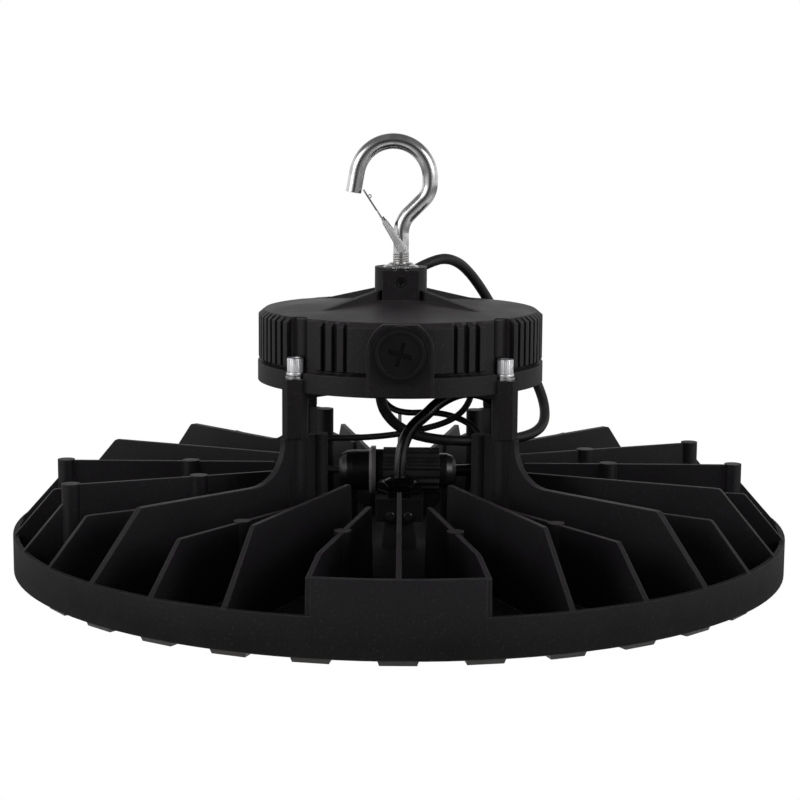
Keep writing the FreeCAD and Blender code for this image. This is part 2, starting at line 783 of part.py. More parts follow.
# ---------------------------------------------------------------- fasteners
def leg_screws():
    head_low = lug_top + leg_washer_thickness + spring_washer_thickness
    screws = []
    for angle in screw_angles:
        x, y = on_circle(screw_circle_radius, angle)
        head = post(leg_screw_head_radius, head_low, head_low + leg_screw_head_height, x, y)
        head = head.cut(hexagon(4.0, head_low + 4.0, head_low + 10, x, y))
        shank = post(leg_screw_radius, post_top - leg_screw_grip, head_low, x, y)
        screws.append(head.fuse(shank))
    return Part.makeCompound(screws)


def washers(outer, low, thickness):
    rings = []
    for angle in screw_angles:
        x, y = on_circle(screw_circle_radius, angle)
        rings.append(ring(outer, leg_screw_radius + thread_gap, low, low + thickness, x, y))
    return Part.makeCompound(rings)


plug_thread_length = 9.0
plug_seal_thickness = 0.8
plug_head_thickness = 2.4
plug_slot_turn = 17.0


def knockout_plug():
    face_y = -plug_boss_reach - plug_seal_thickness
    head = Part.makeCylinder(plug_head_radius, plug_head_thickness, V(0, face_y, plug_z), V(0, -1, 0))
    stem = Part.makeCylinder(plug_hole_radius, plug_thread_length, V(0, face_y, plug_z), V(0, 1, 0))
    front = face_y - plug_head_thickness
    raised = Part.makeCylinder(plug_head_radius - 1.6, 0.7, V(0, front, plug_z), V(0, -1, 0))
    raised = raised.cut(Part.makeCylinder(plug_head_radius - 3.2, 3, V(0, front, plug_z), V(0, -1, 0)))
    plug = joined([head, stem, raised])
    slots = []
    for turn in (plug_slot_turn, plug_slot_turn + 90):
        slot = block(-6.0, 6.0, front - 1, front + 1.3, -1.1, 1.1)
        slot.rotate(V(0, 0, 0), V(0, 1, 0), turn)
        slot.translate(V(0, 0, plug_z))
        slots.append(slot)
    return plug.cut(Part.makeCompound(slots))


def plug_seal():
    outer = Part.makeCylinder(plug_head_radius - 0.5, plug_seal_thickness, V(0, -plug_boss_reach, plug_z), V(0, -1, 0))
    inner = Part.makeCylinder(plug_hole_radius + thread_gap, 3, V(0, -plug_boss_reach + 1, plug_z), V(0, -1, 0))
    return outer.cut(inner)


# ---------------------------------------------------------------- cable glands
gland_sizes = {
    "centre": {"width": 20.0, "stem": 6.0, "stem_length": 5.0, "nut_height": 6.6,
               "cable": engine_cord_diameter / 2},
    "mains": {"width": 15.0, "stem": 5.5, "stem_length": 5.0, "nut_height": 5.4,
              "cable": mains_cord_diameter / 2},
    "lead": {"width": 12.0, "stem": 4.5, "stem_length": 5.0, "nut_height": 5.4,
             "cable": lead_diameter / 2},
}
gland_hex_height = 3.0
mains_gland_place = (-11.0, 18.0)
output_gland_place = (38.5, 23.0)
dimming_gland_place = (-12.0, 46.0)
driver_gland_places = [mains_gland_place + ("mains",), output_gland_place + ("lead",),
                       dimming_gland_place + ("lead",)]


def gland(place, seat, size, hanging):
    """Body, dome nut and rubber seal of a gland that stands on, or hangs under, its seat."""
    g = gland_sizes[size]
    body = hexagon(g["width"], 0, gland_hex_height)
    body = body.fuse(post(g["stem"], -g["stem_length"], 0)).cut(post(1.6, -20, 20))
    top = gland_hex_height + g["nut_height"]
    corner = g["width"] / math.sqrt(3)
    dome = revolve([(0, gland_hex_height), (corner + 0.1, gland_hex_height), (corner + 0.1, top - 4.0),
                    (g["width"] / 2 - 0.8, top - 1.2), (g["cable"] + 2.2, top), (0, top)])
    nut = hexagon(g["width"], gland_hex_height, top).common(dome)
    nut = nut.cut(post(g["cable"] + hole_gap, 0, top + 1))
    nut = nut.cut(post(g["cable"] + 1.6, 0, top - 1.8))
    seal = ring(g["cable"] + 1.6 - thread_gap, g["cable"] + thread_gap, gland_hex_height, top - 1.8)
    pieces = [body, nut, seal]
    for piece in pieces:
        if hanging:
            piece.rotate(V(0, 0, 0), V(1, 0, 0), 180)
        piece.translate(V(place[0], place[1], seat))
    return pieces


# ---------------------------------------------------------------- gland cap on the pedestal
cap_top = cap_bottom + cap_height


def gland_cap():
    half = cap_width / 2
    cap = block(-half, half, gland_y - half, gland_y + cap_back_reach, cap_bottom, cap_top)
    cap = cap.makeFillet(1.5, upright_edges(cap))
    holes = [post(spigot_radius + thread_gap, cap_bottom - 1, cap_bottom + spigot_height, 0, gland_y),
             post(gland_sizes["centre"]["stem"] + thread_gap, cap_top - 6, cap_top + 1, 0, gland_y),
             post(wire_hole_radius, cap_bottom, cap_top, 0, gland_y)]
    holes += cap_screw_holes(cap_screw_radius + hole_gap)
    return cap.cut(Part.makeCompound(holes))


def cap_screws():
    z = cap_bottom + cap_screw_rise
    face = gland_y - cap_width / 2
    screws = []
    for x in (-cap_screw_spacing / 2, cap_screw_spacing / 2):
        head = Part.makeCylinder(2.2, 1.6, V(x, face, z), V(0, -1, 0))
        shank = Part.makeCylinder(cap_screw_radius, 11.0, V(x, face, z), V(0, 1, 0))
        screws.append(head.fuse(shank))
    return Part.makeCompound(screws)


# ---------------------------------------------------------------- in-line connector
connector_y = 15.3
connector_z = 46.5
connector_left = -32.0
connector_right = 30.0
socket_radius = 10.8
flange_left = -16.0
flange_thickness = 3.4
flange_radius = 13.0
coupling_left = -8.6
coupling_right = 21.0
coupling_radius = 12.3
coupling_groove = 0.9
coupling_teeth = 18
connector_neck_radius = 9.2
connector_meeting_x = 2.0


def along_x(points):
    """Solid turned about the connector's own axis from (x, radius) points."""
    wire = Part.makePolygon([V(x, connector_y, connector_z + r) for x, r in points + points[:1]])
    return Part.Face(wire).revolve(V(0, connector_y, connector_z), V(1, 0, 0), 360)


def connector_socket():
    flange_right = flange_left + flange_thickness
    return along_x([(connector_left, 0), (connector_left, 6.4), (connector_left + 1.4, 8.6),
                    (connector_left + 4, socket_radius - 0.4), (connector_left + 7, socket_radius),
                    (flange_left, socket_radius), (flange_left, flange_radius - 1.2),
                    (flange_left + 1.2, flange_radius), (flange_right, flange_radius),
                    (flange_right, connector_neck_radius),
                    (connector_meeting_x, connector_neck_radius), (connector_meeting_x, 0)])


def connector_plug():
    return along_x([(connector_meeting_x, 0), (connector_meeting_x, connector_neck_radius),
                    (coupling_right + 4, connector_neck_radius), (connector_right - 2, 8.0),
                    (connector_right, 5.6), (connector_right, 0)])


def coupling_ring():
    points = []
    for i in range(coupling_teeth * 4):
        radius = coupling_radius if i % 4 in (0, 1) else coupling_radius - coupling_groove
        y, z = on_circle(radius, i * 90.0 / coupling_teeth)
        points.append(V(coupling_left, connector_y + y, connector_z + z))
    nut = Part.Face(Part.makePolygon(points + points[:1])).extrude(V(coupling_right - coupling_left, 0, 0))
    bore = Part.makeCylinder(connector_neck_radius + part_gap, 60,
                             V(coupling_left - 10, connector_y, connector_z), V(1, 0, 0))
    return nut.cut(bore)


def connector_seal():
    low = flange_left + flange_thickness
    return along_x([(low, connector_neck_radius + thread_gap), (low, connector_neck_radius + 2.0),
                    (coupling_left, connector_neck_radius + 2.0), (coupling_left, connector_neck_radius + thread_gap)])


# ---------------------------------------------------------------- cords
driver_gland_face = housing_bottom - gland_hex_height
centre_gland_face = cap_top + gland_hex_height

engine_route = [(0.0, gland_y, centre_gland_face), (0.0, -8.0, 52.0), (1.4, -5.3, 63.7),
                (6.1, -2.3, 72.9), (13.9, 0.6, 79.0), (20.0, 4.5, 84.7), (30.4, 7.8, 89.7),
                (39.5, 9.4, 90.0), (48.3, 11.0, 86.8), (55.0, 12.7, 79.9), (58.1, 13.7, 71.3),
                (57.5, 14.5, 62.4), (53.3, 15.1, 54.5), (46.1, 15.2, 48.8),
                (37.0, connector_y, connector_z), (connector_right, connector_y, connector_z)]
output_route = [(38.5, 23.0, driver_gland_face), (38.5, 23, 87), (35.5, 23, 79.5),
                (30, 23.2, 74), (22.5, 23.8, 70.2), (14.5, 25, 67.8), (6.5, 27, 65.5),
                (-1.5, 29, 63.6), (-10, 30.8, 62.2), (-19, 32.2, 61.2), (-28.5, 33, 60.7),
                (-38.2, 33, 60.7), (-43.5, 30.6, 58.8), (-46.5, 26.5, 55.5), (-46.5, 21.8, 51.7),
                (-43.5, 17.7, 48.4), (-38.2, connector_y, connector_z),
                (connector_left, connector_y, connector_z)]
dimming_route = [(-12.0, 46.0, driver_gland_face), (-12.0, 46.0, 87.0), (-9.5, 46.0, 79.5),
                 (-3.5, 43.5, 74.5), (4.5, 40.0, 73.5), (13.0, 37.5, 74.3), (21.5, 35.5, 74.3),
                 (29.5, 32.0, 73.0), (36.5, 27.5, 70.5), (42.0, 21.5, 66.8), (44.5, 14.5, 61.5),
                 (43.5, 8.5, 54.5), (41.0, 4.5, 47.0), (38.5, 2.5, 39.5), (38.5, 2.5, 31.0)]
mains_route = [(-11.0, 18.0, driver_gland_face), (-11.0, 18.0, 83.0), (-5.0, 17.8, 72.8),
               (5.0, 18.0, 66.0), (17.0, 18.5, 63.0), (30.0, 20.5, 61.7), (43.0, 24.5, 61.0),
               (55.0, 30.5, 60.7), (66.0, 37.5, 60.8), (75.0, 46.5, 62.5), (80.0, 56.0, 66.5),
               (80.5, 64.5, 74.5), (77.0, 70.0, 85.0), (71.0, 71.5, 96.5), (64.0, 71.0, 108.0),
               (57.0, 69.0, 119.0), (50.0, 65.5, 130.0), (44.0, 60.5, 140.0),
               (37.5, 53.0, 149.0), (31.0, 44.0, 155.5), (23.0, 35.0, 158.5),
               (14.0, 28.0, 156.0), (3.5, 25.5, 150.5), (-7.0, 29.5, 144.3)]
mains_core_radius = 0.85
mains_core_circle = 1.25
mains_core_length = 8.0
dimming_cap_radius = 3.0
dimming_cap_length = 13.0
dimming_cap_overlap = 4.0


def dimming_cap():
    """Rubber cap pushed over the unused end of the dimming cord."""
    x, y, end = dimming_route[-1]
    shell = post(dimming_cap_radius, end + dimming_cap_overlap - dimming_cap_length,
                 end + dimming_cap_overlap, x, y)
    return shell.cut(post(lead_diameter / 2, end, end + dimming_cap_overlap + 1, x, y))


def mains_cores():
    """Three stripped conductors that stand out of the mains cord's free end."""
    end = V(*mains_route[-1])
    direction = (end - V(*mains_route[-2])).normalize()
    side = direction.cross(V(0, 0, 1)).normalize()
    lift = side.cross(direction)
    cores = []
    for angle in (90.0, 210.0, 330.0):
        x, y = on_circle(mains_core_circle, angle)
        cores.append(Part.makeCylinder(mains_core_radius, mains_core_length,
                                       end + side * x + lift * y, direction))
    return Part.makeCompound(cores)


parts = {
    "heat_sink": heat_sink(),
    "lens_plate": lens_plate(),
    "lens_gasket": lens_gasket(),
    "led_board": led_board(),
    "led_chips": led_chips(),
    "lens_screws": lens_screws(),
    "driver_housing": driver_housing(),
    "driver_base": driver_base(),
    "driver_gasket": driver_gasket(),
    "driver_board": driver_board(),
    "driver_transformer": driver_transformer(),
    "driver_capacitors": driver_capacitors(),
    "hook": hook(),
    "hook_nut": hook_nut(),
    "boss_set_screw": boss_set_screw(),
    "hook_gate": hook_gate(),
    "gate_pin": gate_pin(),
    "gate_spring": gate_spring(),
    "leg_screws": leg_screws(),
    "flat_washers": washers(leg_washer_radius, lug_top, leg_washer_thickness),
    "spring_washers": washers(leg_washer_radius - 0.6, lug_top + leg_washer_thickness, spring_washer_thickness),
    "knockout_plug": knockout_plug(),
    "plug_seal": plug_seal(),
    "gland_cap": gland_cap(),
    "cap_screws": cap_screws(),
    "connector_socket": connector_socket(),
    "connector_plug": connector_plug(),
    "coupling_ring": coupling_ring(),
    "connector_seal": connector_seal(),
    "engine_cord": cord(engine_route, engine_cord_diameter, "engine_cord"),
    "output_cord": cord(output_route, lead_diameter, "output_cord"),
    "dimming_cord": cord(dimming_route, lead_diameter, "dimming_cord"),
    "dimming_cap": dimming_cap(),
    "mains_cord": cord(mains_route, mains_cord_diameter, "mains_cord"),
    "mains_cores": mains_cores(),
}
glands = {
    "centre_gland": gland((0.0, gland_y), cap_top, "centre", False),
    "mains_gland": gland(mains_gland_place, housing_bottom, "mains", True),
    "output_gland": gland(output_gland_place, housing_bottom, "lead", True),
    "dimming_gland": gland(dimming_gland_place, housing_bottom, "lead", True),
}
for gland_name, pieces in glands.items():
    for suffix, piece in zip(("_body", "_nut", "_seal"), pieces):
        parts[gland_name + suffix] = piece

for part_name, solid in parts.items():
    save(part_name, solid)
    print(part_name, len(solid.Solids), "solid(s), valid" if solid.isValid() else "solid(s), NOT VALID",
          round(solid.Volume / 1000, 2), "cm3")
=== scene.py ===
import json
import math
import bpy
from mathutils import Matrix, Vector


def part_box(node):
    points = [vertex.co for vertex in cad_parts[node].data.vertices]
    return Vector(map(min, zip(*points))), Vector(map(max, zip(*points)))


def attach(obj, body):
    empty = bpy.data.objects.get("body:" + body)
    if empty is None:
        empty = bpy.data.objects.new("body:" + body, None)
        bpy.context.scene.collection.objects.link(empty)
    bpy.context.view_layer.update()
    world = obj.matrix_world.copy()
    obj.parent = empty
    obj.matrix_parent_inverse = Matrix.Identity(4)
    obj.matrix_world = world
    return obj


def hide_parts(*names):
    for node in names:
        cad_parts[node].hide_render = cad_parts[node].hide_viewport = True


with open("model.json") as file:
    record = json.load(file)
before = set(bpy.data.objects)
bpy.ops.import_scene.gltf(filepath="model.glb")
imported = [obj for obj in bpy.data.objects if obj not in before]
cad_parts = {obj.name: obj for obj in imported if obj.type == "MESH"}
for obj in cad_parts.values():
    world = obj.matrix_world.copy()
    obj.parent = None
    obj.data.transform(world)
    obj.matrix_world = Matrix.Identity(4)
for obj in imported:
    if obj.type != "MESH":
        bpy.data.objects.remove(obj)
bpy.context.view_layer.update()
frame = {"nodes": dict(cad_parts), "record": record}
print("frame loaded, nodes:", len(frame["nodes"]))

# camera
viewpoint = {"place": (0.0, -1.02185, 0.24196), "downTilt": 8.642, "roll": 0.413, "lens": 88.97}


def setCamera():
    bpy.ops.object.select_all(action="DESELECT")
    bpy.ops.object.camera_add(location=viewpoint["place"])
    camera = bpy.context.object
    camera.name = "camera"
    camera.data.lens = viewpoint["lens"]
    camera.data.sensor_width = 36.0
    camera.data.clip_start = 0.05
    camera.data.clip_end = 60.0
    tilt = Matrix.Rotation(math.radians(90.0 - viewpoint["downTilt"]), 3, "X")
    spin = Matrix.Rotation(math.radians(viewpoint["roll"]), 3, "Z")
    camera.rotation_euler = (tilt @ spin).to_euler()
    bpy.context.scene.camera = camera


setCamera()

# cords, each route in millimetres
engineLead = {
    "node": "engine_cord", "diameter": 6.4, "length": 0.145, "stiffness": "limp", "farEnd": "object",
    "finish": "glossyCord",
    "route": [(0, -8, 41), (0, -8, 52), (1.4, -5.3, 63.7), (6.1, -2.3, 72.9), (13.9, 0.6, 79),
              (20, 4.5, 84.7), (30.4, 7.8, 89.7), (39.5, 9.4, 90), (48.3, 11, 86.8), (55, 12.7, 79.9),
              (58.1, 13.7, 71.3), (57.5, 14.5, 62.4), (53.3, 15.1, 54.5), (46.1, 15.2, 48.8),
              (37, 15.3, 46.5), (30, 15.3, 46.5)],
}
outputLead = {
    "node": "output_cord", "diameter": 3.4, "length": 0.131, "stiffness": "limp", "farEnd": "object",
    "finish": "satinCord",
    "route": [(38.5, 23, 95.4), (38.5, 23, 87), (35.5, 23, 79.5), (30, 23.2, 74), (22.5, 23.8, 70.2),
              (14.5, 25, 67.8), (6.5, 27, 65.5), (-1.5, 29, 63.6), (-10, 30.8, 62.2), (-19, 32.2, 61.2),
              (-28.5, 33, 60.7), (-38.2, 33, 60.7), (-43.5, 30.6, 58.8), (-46.5, 26.5, 55.5),
              (-46.5, 21.8, 51.7), (-43.5, 17.7, 48.4), (-38.2, 15.3, 46.5), (-32, 15.3, 46.5)],
}
dimmingLead = {
    "node": "dimming_cord", "diameter": 3.4, "length": 0.120, "stiffness": "limp", "farEnd": "fitting",
    "finish": "satinCord", "carries": ["dimming_cap"],
    "route": [(-12, 46, 95.4), (-12, 46, 87), (-9.5, 46, 79.5), (-3.5, 43.5, 74.5), (4.5, 40, 73.5),
              (13, 37.5, 74.3), (21.5, 35.5, 74.3), (29.5, 32, 73), (36.5, 27.5, 70.5), (42, 21.5, 66.8),
              (44.5, 14.5, 61.5), (43.5, 8.5, 54.5), (41, 4.5, 47), (38.5, 2.5, 39.5), (38.5, 2.5, 31)],
}
mainsLead = {
    "node": "mains_cord", "diameter": 5.6, "length": 0.289, "stiffness": "limp", "farEnd": "bare",
    "finish": "satinCord", "carries": ["mains_cores"],
    "route": [(-11, 18, 95.4), (-11, 18, 83), (-5, 17.8, 72.8), (5, 18, 66), (17, 18.5, 63),
              (30, 20.5, 61.7), (43, 24.5, 61), (55, 30.5, 60.7), (66, 37.5, 60.8), (75, 46.5, 62.5),
              (80, 56, 66.5), (80.5, 64.5, 74.5), (77, 70, 85), (71, 71.5, 96.5), (64, 71, 108),
              (57, 69, 119), (50, 65.5, 130), (44, 60.5, 140), (37.5, 53, 149), (31, 44, 155.5),
              (23, 35, 158.5), (14, 28, 156), (3.5, 25.5, 150.5), (-7, 29.5, 144.3)],
}
leads = [engineLead, outputLead, dimmingLead, mainsLead]


def layCord(lead, name):
    data = bpy.data.curves.new(name, "CURVE")
    data.dimensions = "3D"
    data.bevel_depth = 1.0  # the points' radius gives the thickness, so the box is right
    data.bevel_resolution = 6
    data.resolution_u = 10
    data.use_fill_caps = True
    spline = data.splines.new("NURBS")
    spline.points.add(len(lead["route"]) - 1)
    for point, place in zip(spline.points, lead["route"]):
        point.co = (place[0] / 1000.0, place[1] / 1000.0, place[2] / 1000.0, 1.0)
        point.radius = lead["diameter"] / 2000.0
    spline.order_u = 3
    spline.use_endpoint_u = True
    piece = bpy.data.objects.new(name, data)
    bpy.context.collection.objects.link(piece)
    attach(piece, "fixture")
    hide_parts(lead["node"])
    start = [value / 1000.0 for value in lead["route"][0]]
    lead["piece"] = piece


for lead, name in zip(leads, ("engineLead", "outputLead", "dimmingLead", "mainsLead")):
    layCord(lead, name)
print("camera and cords placed")


# shader maths
class Wire:
    def __init__(self, graph, socket):
        self.graph = graph
        self.socket = socket

    def maths(self, operation, first, second, clamp=False):
        return self.graph.maths(operation, first, second, clamp)

    def __add__(self, other):
        return self.maths("ADD", self, other)

    def __radd__(self, other):
        return self.maths("ADD", other, self)

    def __sub__(self, other):
        return self.maths("SUBTRACT", self, other)

    def __rsub__(self, other):
        return self.maths("SUBTRACT", other, self)

    def __mul__(self, other):
        return self.maths("MULTIPLY", self, other)

    def __rmul__(self, other):
        return self.maths("MULTIPLY", other, self)

    def clamped(self):
        return self.maths("ADD", self, 0.0, clamp=True)


class Graph:
    def __init__(self, name, world=None):
        self.owner = world or bpy.data.materials.new(name)
        self.owner.use_nodes = True
        self.tree = self.owner.node_tree
        self.tree.nodes.clear()
        self.at = self.add("ShaderNodeTexCoord", {}, {}, "Generated" if world else "Object")

    def add(self, kind, settings, sockets, result=None):  # an output node has no result
        node = self.tree.nodes.new(kind)
        for key, value in settings.items():
            if key == "stops":
                self.setStops(node.color_ramp, value)
            else:
                setattr(node, key, value)
        for key, value in sockets.items():
            if isinstance(value, Wire):
                self.tree.links.new(value.socket, node.inputs[key])
            else:
                node.inputs[key].default_value = value
        return None if result is None else Wire(self, node.outputs[result])

    def setStops(self, ramp, stops):
        while len(ramp.elements) < len(stops):
            ramp.elements.new(0.5)
        for element, (place, colour) in zip(ramp.elements, stops):
            element.position = place
            element.color = colour

    def maths(self, operation, first, second=0.0, clamp=False):
        settings = {"operation": operation, "use_clamp": clamp}
        return self.add("ShaderNodeMath", settings, {0: first, 1: second}, "Value")

    def noise(self, scale, detail=2.0, roughness=0.5, at=None):
        sockets = {"Vector": at or self.at, "Scale": scale, "Detail": detail, "Roughness": roughness}
        return self.add("ShaderNodeTexNoise", {}, sockets, "Fac")

    def stretched(self, scale, turn=(0.0, 0.0, 0.0)):
        return self.add("ShaderNodeMapping", {}, {"Vector": self.at, "Scale": scale, "Rotation": turn},
                        "Vector")

    def range(self, value, low, high, newLow, newHigh):
        sockets = {0: value, 1: low, 2: high, 3: newLow, 4: newHigh}
        return self.add("ShaderNodeMapRange", {"clamp": True}, sockets, "Result")

    def mixed(self, share, first, second):
        sockets = {0: share, 6: first, 7: second}
        return self.add("ShaderNodeMix", {"data_type": "RGBA"}, sockets, 2)

    def bump(self, height, strength, distance, base=None):
        sockets = {"Height": height, "Strength": strength, "Distance": distance}
        if base:
            sockets["Normal"] = base
        return self.add("ShaderNodeBump", {}, sockets, "Normal")

    def rounded(self, radius):
        return self.add("ShaderNodeBevel", {"samples": 4}, {"Radius": radius}, "Normal")

    def axis(self, name, vector=None):
        return self.add("ShaderNodeSeparateXYZ", {}, {0: vector or self.at}, name)

    def edges(self, radius, gain):  # share of edge, from how far the rounded normal turns
        flat = self.add("ShaderNodeNewGeometry", {}, {}, "Normal")
        sockets = {0: self.rounded(radius), 1: flat}
        along = self.add("ShaderNodeVectorMath", {"operation": "DOT_PRODUCT"}, sockets, "Value")
        return ((1.0 - along) * gain).clamped()

    def upward(self, low, high):
        normal = self.add("ShaderNodeNewGeometry", {}, {}, "Normal")
        return self.range(self.axis("Z", normal), low, high, 0.0, 1.0)

    def output(self, shader, kind="ShaderNodeOutputMaterial"):
        self.add(kind, {}, {"Surface": shader})
        return self.owner

    def surface(self, sockets):
        return self.output(self.add("ShaderNodeBsdfPrincipled", {}, sockets, "BSDF"))


def rgb(red, green, blue):
    return (red, green, blue, 1.0)


def toned(colour, gain, lift=0.0):
    return rgb(*[min(1.0, value * gain + lift) for value in colour[:3]])


# the last pair of heights in each coat spans a painted shade: the colour darkens towards the bottom,
# standing in for the shade in the heat sink's wells
powderCoats = {
    "castBlack": {"base": rgb(0.0068, 0.0055, 0.0070), "edge": rgb(0.070, 0.065, 0.070), "rough": 0.50,
                  "grain": 1500.0, "depth": 0.00005, "dust": 0.22, "speckle": 0.22,
                  "round": 0.0007, "paintedLowShade": (0.010, 0.036)},
    "driverBlack": {"base": rgb(0.0090, 0.0074, 0.0088), "edge": rgb(0.060, 0.055, 0.060), "rough": 0.47,
                    "grain": 1300.0, "depth": 0.00006, "dust": 0.28, "speckle": 0.30,
                    "round": 0.0006, "paintedLowShade": (0.0, 0.001)},
}


def powderCoat(name):
    coat = powderCoats[name]
    g = Graph(name)
    grain = g.noise(coat["grain"], 3.0, 0.6)
    speckle = g.range(g.noise(coat["grain"] * 0.55, 2.0, 0.6), 0.58, 0.70, 0.0, coat["speckle"])
    cloud = g.noise(38.0, 4.0, 0.55)
    dustShare = g.upward(0.35, 0.95) * g.range(cloud, 0.35, 0.75, 0.25, 1.0) * coat["dust"]
    # edges are lightened, partly as wear and partly as a painted highlight where edges catch the light
    edgeWearAndHighlight = g.edges(coat["round"], 2.2) * g.range(g.noise(180.0, 4.0), 0.4, 0.65, 0.35, 1.0)
    # painted shade: below these heights the coat turns darker and rougher, in place of the shade the driver
    # casts into the wells
    paintedLowShade = g.range(g.axis("Z"), coat["paintedLowShade"][0], coat["paintedLowShade"][1], 1.0, 0.0)
    shaded = g.mixed(paintedLowShade, coat["base"], toned(coat["base"], 0.22))
    colour = g.mixed(dustShare * (1.0 - paintedLowShade), shaded, rgb(0.040, 0.034, 0.036))
    colour = g.mixed(edgeWearAndHighlight, g.mixed(speckle, colour, rgb(0.045, 0.040, 0.046)), coat["edge"])
    rough = g.range(cloud, 0.3, 0.7, coat["rough"] - 0.05, coat["rough"] + 0.07)
    rough = rough + dustShare * 0.15 + paintedLowShade * 0.30
    normal = g.bump(grain, 0.55, coat["depth"], g.rounded(coat["round"]))
    return g.surface({"Base Color": colour, "Roughness": rough, "Normal": normal,
                      "Specular IOR Level": 0.28})


zincFinishes = {
    "zincPlate": {"bright": rgb(0.76, 0.75, 0.76), "dull": rgb(0.36, 0.36, 0.37), "rough": 0.14,
                  "depth": 0.00003},
    "zincThread": {"bright": rgb(0.62, 0.59, 0.57), "dull": rgb(0.24, 0.22, 0.21), "rough": 0.30,
                   "depth": 0.00003},
    "headZinc": {"bright": rgb(0.93, 0.93, 0.95), "dull": rgb(0.70, 0.70, 0.73), "rough": 0.38,
                 "depth": 0.00003},
    "cheekZinc": {"bright": rgb(0.88, 0.87, 0.87), "dull": rgb(0.62, 0.61, 0.61), "rough": 0.46,
                  "depth": 0.00003},
    "latchSteel": {"bright": rgb(0.40, 0.40, 0.41), "dull": rgb(0.20, 0.20, 0.21), "rough": 0.24,
                   "depth": 0.00002},
}


def zincPlate(name):
    finish = zincFinishes[name]
    g = Graph(name)
    patches = g.noise(160.0, 5.0, 0.6)
    pits = g.noise(900.0, 3.0, 0.6)
    scratches = g.noise(420.0, 2.0, 0.5, g.stretched((1.0, 1.0, 0.12)))
    share = g.range(patches, 0.40, 0.72, 0.0, 1.0) * 0.8 + g.range(pits, 0.62, 0.72, 0.0, 0.35)
    colour = g.mixed(share.clamped(), finish["bright"], finish["dull"])
    rough = g.range(patches, 0.3, 0.75, finish["rough"], finish["rough"] + 0.16)
    normal = g.bump(scratches, 0.25, finish["depth"], g.rounded(0.0003))
    return g.surface({"Base Color": colour, "Roughness": rough, "Metallic": 1.0, "Normal": normal})


mouldings = {
    "blackNylon": {"base": rgb(0.009, 0.009, 0.010), "rough": 0.34, "grain": 2200.0, "depth": 0.00002,
                   "level": 0.5},
    "glossNylon": {"base": rgb(0.004, 0.004, 0.005), "rough": 0.10, "grain": 900.0, "depth": 0.00001,
                   "level": 0.55},
    "couplingNylon": {"base": rgb(0.016, 0.016, 0.017), "rough": 0.40, "grain": 1800.0, "depth": 0.00002,
                      "level": 0.5},
    "plugNylon": {"base": rgb(0.0045, 0.0045, 0.005), "rough": 0.42, "grain": 1500.0, "depth": 0.00003,
                  "level": 0.25, "recess": "knockout_plug"},
    "socketNylon": {"base": rgb(0.006, 0.005, 0.006), "rough": 0.30, "grain": 2000.0, "depth": 0.00002,
                    "level": 0.5, "ring": (-14.3, 1.75)},
    "sealRubber": {"base": rgb(0.003, 0.003, 0.003), "rough": 0.75, "grain": 1500.0, "depth": 0.00004,
                   "level": 0.2},
    "siliconeGrey": {"base": rgb(0.55, 0.55, 0.54), "rough": 0.55, "grain": 1200.0, "depth": 0.00003,
                     "level": 0.4},
    "pottingBlack": {"base": rgb(0.015, 0.015, 0.016), "rough": 0.60, "grain": 800.0, "depth": 0.00006,
                     "level": 0.4},
    "blackOxide": {"base": rgb(0.004, 0.004, 0.005), "rough": 0.30, "grain": 1600.0, "depth": 0.00002,
                   "level": 0.6},
}


def moulding(name):
    finish = mouldings[name]
    g = Graph(name)
    cloud = g.noise(120.0, 3.0, 0.5)
    grain = g.noise(finish["grain"], 2.0, 0.5)
    # edges are lightened, partly as wear and partly as a painted highlight where edges catch the light
    edgeWearAndHighlight = g.edges(0.0004, 1.6) * 0.5
    base = finish["base"]
    clouded = g.mixed(g.range(cloud, 0.35, 0.7, 0.0, 1.0), base, toned(base, 1.35))
    colour = g.mixed(edgeWearAndHighlight, clouded, toned(base, 2.6, 0.01))
    if "recess" in finish:  # painted shade: the cross and the rim, behind the front face, are darkened to stand in for the shade in the recess
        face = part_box(finish["recess"])[0][1]
        depth = g.axis("Y") - (face + 0.0004)
        colour = g.mixed(g.range(depth, 0.0, 0.0005, 0.0, 1.0), colour, rgb(0.0008, 0.0008, 0.0009))
    if "ring" in finish:  # a paler ring round the coupling's flange, partly a grey seal and partly a painted highlight on the flange
        middle, half = [value / 1000.0 for value in finish["ring"]]
        away = g.maths("ABSOLUTE", g.axis("X") - middle)
        colour = g.mixed(g.range(away, half, half + 0.0002, 1.0, 0.0), colour, rgb(0.16, 0.15, 0.15))
    rough = g.range(cloud, 0.3, 0.7, finish["rough"] - 0.04, finish["rough"] + 0.07)
    normal = g.bump(grain, 0.3, finish["depth"], g.rounded(0.0004))
    return g.surface({"Base Color": colour, "Roughness": rough, "Normal": normal,
                      "Specular IOR Level": finish["level"]})


cordSheaths = {
    "satinCord": {"base": rgb(0.010, 0.010, 0.010), "rough": 0.46, "level": 0.35},
    "glossyCord": {"base": rgb(0.005, 0.005, 0.005), "rough": 0.22, "level": 0.5},
}


def cordSheath(name):
    finish = cordSheaths[name]
    g = Graph(name)
    scuff = g.noise(260.0, 4.0, 0.6)
    skin = g.noise(1700.0, 2.0, 0.5)
    colour = g.mixed(g.range(scuff, 0.5, 0.75, 0.0, 0.35), finish["base"], rgb(0.035, 0.035, 0.036))
    rough = g.range(scuff, 0.35, 0.7, finish["rough"] - 0.03, finish["rough"] + 0.12)
    normal = g.bump(skin, 0.3, 0.00003)
    return g.surface({"Base Color": colour, "Roughness": rough, "Normal": normal,
                      "Specular IOR Level": finish["level"]})


def smokyLens():
    g = Graph("smokyLens")
    cloud = g.noise(70.0, 3.0, 0.5)
    colour = g.mixed(cloud, rgb(0.040, 0.036, 0.032), rgb(0.060, 0.055, 0.050))
    rough = g.range(cloud, 0.3, 0.7, 0.30, 0.40)
    normal = g.bump(g.noise(900.0), 0.2, 0.00002, g.rounded(0.0004))
    return g.surface({"Base Color": colour, "Roughness": rough, "Normal": normal,
                      "Transmission Weight": 0.25, "IOR": 1.49})


